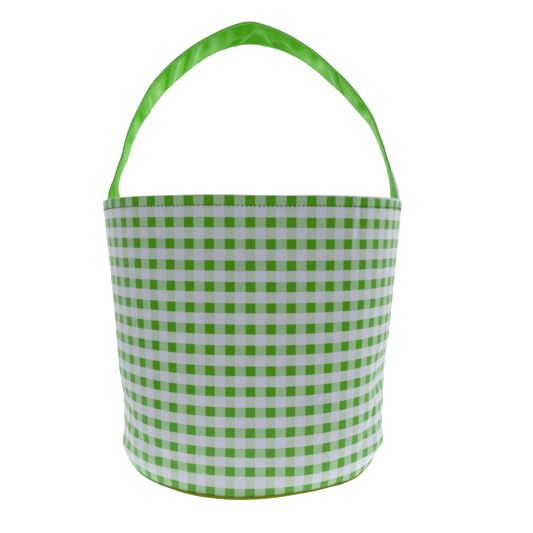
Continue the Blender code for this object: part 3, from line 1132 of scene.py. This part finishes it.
def strap_stay(material):
    """The pale end of the strap's inner stay, showing outside its right foot at the front."""
    lengths = np.linspace(RIGHT_RIM - STAY_LENGTH, RIGHT_RIM + 2 * MM, 48)
    bulge = np.sin(np.linspace(0, math.pi, 48)) ** 0.7
    palm = strap_frame(lengths)[2]
    columns, cloth = [], []
    for share in 0.5 - 0.5 * np.cos(np.linspace(0, math.pi, 18)):
        place = -0.995 + 0.5 * share * bulge
        across = min(share / 0.15, 1) ** 0.5 * (1 - share)
        lift = 2.1 * MM * bulge * across - 0.3 * MM
        columns.append(strap_point(lengths, place, -1) - palm * lift[:, None])
        cloth.append(np.stack([lengths, place * STRAP_HALF], axis=1))
    obj = grid_object("strap_stay", np.stack(columns, axis=1), np.stack(cloth, axis=1), material)
    thicken(obj, 0.35 * MM)
    bend_with_strap(obj)


def strap_stitching(material):
    """A row of stitches along each edge of the strap, on both of its faces."""
    place = 1 - STRAP_STITCH_INSET / STRAP_HALF
    lengths = np.linspace(LEFT_RIM - 2 * MM, RIGHT_RIM + 2 * MM, 900)
    palm = strap_frame(lengths)[2]
    size = FINE_PITCH, STRAP_STITCH_RADIUS
    for edge, where in (("front", -place), ("back", place)):
        for face, side in (("palm", 1), ("outer", -1)):
            path = strap_point(lengths, np.full_like(lengths, where), side)
            name = f"strap_{edge}_{face}_stitches"
            obj = stitch_object(name, path, palm * side, material, *size, seed=20 + side)
            if face == "outer":
                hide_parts(f"handle_{edge}_edge_thread")
            bend_with_strap(obj)


# ---------------------------------------------------------------- floor, light and camera

def build_floor():
    """A white table, lit from below round the bag, that looks evenly white to the camera."""
    nodes = Nodes("studio_floor", 0.9)
    place = nodes.node("ShaderNodeTexCoord").outputs["Object"]
    inputs = {"Vector": place, "Scale": 3.0, "Detail": 3.0}
    cloud = nodes.node("ShaderNodeTexNoise", inputs).outputs[0]
    factor = nodes.map_range(cloud, 0.3, 0.7, 0.99, 1.0)
    away = nodes.node("ShaderNodeVectorMath", {0: place}, operation="LENGTH").outputs["Value"]
    near = nodes.map_range(away, FLOOR_GLOW_REACH, BASE_HALF, 0.0, FLOOR_GLOW)
    seen = nodes.node("ShaderNodeLightPath").outputs["Is Camera Ray"]
    glow = nodes.math("MAXIMUM", near, nodes.times(seen, FLOOR_SEEN))
    nodes.put(nodes.shader.inputs["Emission Color"], (1, 1, 1, 1))
    nodes.put(nodes.shader.inputs["Emission Strength"], glow)
    material = nodes.done(nodes.scale(FLOOR_WHITE, factor))
    mesh = bpy.data.meshes.new("floor")
    corners = [(FLOOR_HALF * x, FLOOR_HALF * y, 0) for x, y in ((-1, -1), (1, -1), (1, 1), (-1, 1))]
    mesh.from_pydata(corners, [], [(0, 1, 2, 3)])
    floor = new_object("floor", mesh, material)
    floor.location.z = -0.2 * MM


def build_world():
    """White all round to look at. As a light it is dim on the camera's side, bright overhead."""
    world = bpy.data.worlds.new("studio")
    bpy.context.scene.world = world
    nodes = Tree(world)
    direction = nodes.node("ShaderNodeTexCoord").outputs["Generated"]
    _, depth, height = nodes.node("ShaderNodeSeparateXYZ", {0: direction}).outputs
    behind = nodes.math("POWER", nodes.map_range(depth, -1.0, 1.0), 0.6)
    sides = nodes.map_range(behind, 0.0, 1.0, SKY_FRONT, SKY_BACK)
    high = nodes.math("POWER", nodes.math("MAXIMUM", height, 0.0), 5.0)
    light = nodes.math("ADD", sides, nodes.times(high, SKY_TOP))
    seen = nodes.node("ShaderNodeLightPath").outputs["Is Camera Ray"]
    strength = nodes.node("ShaderNodeMix", {0: seen, 2: light, 3: 1.0}).outputs[0]
    background = nodes.tree.nodes["Background"]
    nodes.put(background.inputs["Color"], (1, 1, 1, 1))
    nodes.put(background.inputs["Strength"], strength)


def add_light(name, place, power):
    """A round softbox turned to the bag."""
    data = bpy.data.lights.new(name, "AREA")
    data.shape = "DISK"
    data.size = SOFTBOX
    data.energy = power
    obj = link(name, data)
    obj.location = place
    direction = obj.location - LIGHT_AIM
    obj.rotation_mode = "QUATERNION"
    obj.rotation_quaternion = direction.to_track_quat("Z", "Y")


def build_lights():
    add_light("left_softbox", (-0.95, 0.7, 0.45), LEFT_LIGHT)
    add_light("right_softbox", (1.06, 0.48, 0.45), RIGHT_LIGHT)


CAMERA_PLACE = (25.06 * MM, -429.0 * MM, 165.3 * MM)
CAMERA_TILT = 0.0484  # radians down from level
CAMERA_ROLL = 0.0077
CAMERA_LENS = 35.2  # mm
CAMERA_SHIFT = -0.0365  # sideways, as a share of the picture


def build_camera():
    data = bpy.data.cameras.new("camera")
    data.sensor_width = 36.0
    data.lens = CAMERA_LENS
    data.shift_x = CAMERA_SHIFT
    data.clip_start = 0.01
    camera = link("camera", data)
    camera.location = CAMERA_PLACE
    tilt = Euler((math.pi / 2 - CAMERA_TILT, 0, 0)).to_matrix()
    roll = Euler((0, 0, CAMERA_ROLL)).to_matrix()
    camera.rotation_euler = (tilt @ roll).to_euler()
    bpy.context.scene.camera = camera


def build():
    gingham = gingham_material()
    lining = woven_material("lining_cloth", LINING_WHITE, 0.5, 0.9, 0.1)
    green = strap_material()
    shaded_green = woven_material("base_cloth", BASE_SHADED_GREEN, WEAVE_PITCH, 0.85, 0.15)
    felt = fibre_material("stiffener_felt", FELT_WHITE, 900.0, 0.06)
    chipboard = fibre_material("base_chipboard", BOARD_BROWN, 500.0, 0.2)
    thread = thread_material("green_thread", THREAD_GREEN)
    strap_thread = thread_material("strap_thread", STRAP_THREAD)
    build_bucket(gingham, lining, shaded_green, felt, chipboard, thread)
    strap_cloth(green)
    strap_stay(woven_material("stay_cloth", STAY_WHITE, 0.5, 0.9, 0.1))
    strap_stitching(strap_thread)
    build_floor()
    build_world()
    build_lights()
    build_camera()
    bpy.context.scene.view_settings.view_transform = "Standard"


build()
